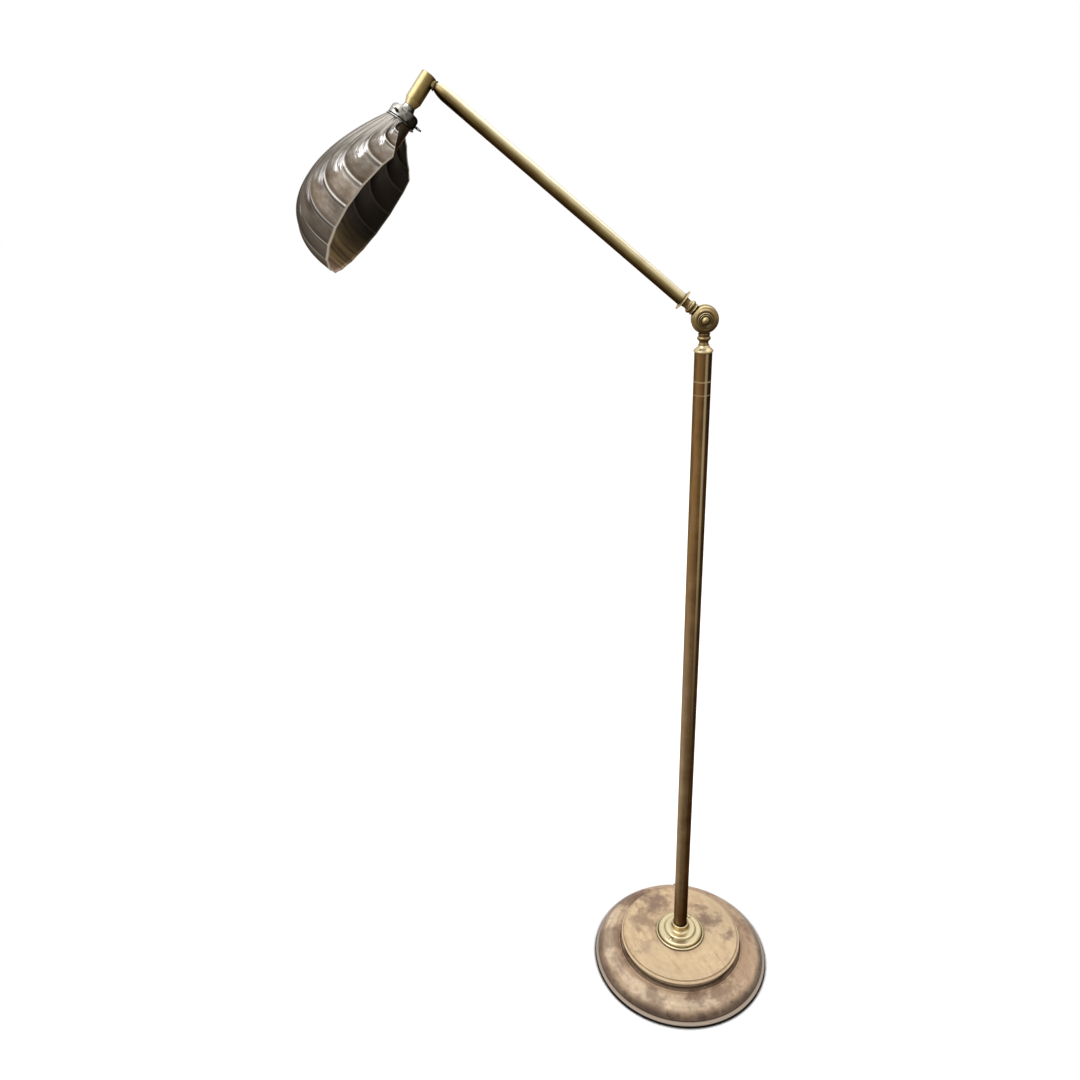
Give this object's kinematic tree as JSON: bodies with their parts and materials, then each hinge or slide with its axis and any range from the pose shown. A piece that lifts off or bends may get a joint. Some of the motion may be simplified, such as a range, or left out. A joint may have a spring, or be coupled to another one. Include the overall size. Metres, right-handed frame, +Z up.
{
  "type": "bridge floor lamp",
  "caption": "Bridge floor lamp with a stepped round wooden base, brass column, tilting arm on a friction knuckle and a fluted clam-shell shade on a swinging head.",
  "frame": {"origin": "centre of the base's underside, on the floor and on the column's axis", "axes": "+Z up the column, the arm in the XZ plane rising towards -X, the cord outlet at the back on +Y"},
  "size_m": [0.6405, 0.299, 1.4205],
  "materials": {
    "felt": "dark brown felt",
    "wood": "pale tan weathered wood with brown stains",
    "ballast": "rough cast",
    "steel": "plain zinc-plated",
    "black_plastic": "moulded matte black",
    "pale_brass": "pale polished brass",
    "brass": "antique brass",
    "column_brass": "dark antique brass with long streaks",
    "dark_brass": "dark bronzed brass",
    "friction_fibre": "dark fibre",
    "liner_paper": "insulating board",
    "pewter": "polished pewter-coloured metal"
  },
  "bodies": {
    "stand": {"base_felt": "felt", "base_lower": "wood", "base_upper": "wood", "base_weight": "ballast", "rod_washer": "steel", "rod_nut": "steel", "threaded_rod": "steel", "cord_bush": "black_plastic", "foot_flange": "pale_brass", "flange_screws": "pale_brass", "foot_plug": "brass", "column_tube": "column_brass", "swivel_post": "column_brass", "swivel_washer": "steel", "swivel_nut": "steel"},
    "column_head": {"swivel_bush": "brass", "column_sleeve": "column_brass", "column_cap": "pale_brass", "knuckle_lower": "brass", "knuckle_washer": "friction_fibre", "knuckle_bolt": "brass", "knuckle_rosette": "brass", "knuckle_nut": "brass"},
    "arm": {"knuckle_upper": "brass", "arm_collar": "pale_brass", "arm_tube": "brass", "arm_tip": "brass", "tip_washer": "friction_fibre", "pivot_screw": "steel"},
    "head": {"husk": "brass", "husk_cap": "brass", "husk_nut": "steel", "nipple": "steel", "shade_holder": "pewter", "thumb_screws": "pewter", "holder_cap": "dark_brass", "holder_shell": "dark_brass", "holder_liner": "liner_paper", "screw_shell": "pale_brass", "holder_core": "black_plastic", "centre_contact": "pale_brass"},
    "shade": {"shade_neck": "pewter", "shade_shell": "pewter"}
  },
  "joints": [
    {"name": "column_swivel", "type": "hinge", "parent": "stand", "child": "column_head", "pos_m": [0, 0, 1.0472], "axis": [0, 0, 1], "range_deg": [-170, 170]},
    {"name": "arm_tilt", "type": "hinge", "parent": "column_head", "child": "arm", "pos_m": [0, 0, 1.1267], "axis": [0, 1, 0], "range_deg": [-70, 49]},
    {"name": "head_swing", "type": "hinge", "parent": "arm", "child": "head", "pos_m": [-0.32127, 0, 1.40109], "axis": [0.7986, 0, -0.6018], "range_deg": [-75, 105]},
    {"name": "shade_turn", "type": "hinge", "parent": "head", "child": "shade", "pos_m": [-0.36619, -0.01494, 1.36607], "axis": [-0.5808, -0.2622, -0.7707], "continuous": true}
  ]
}
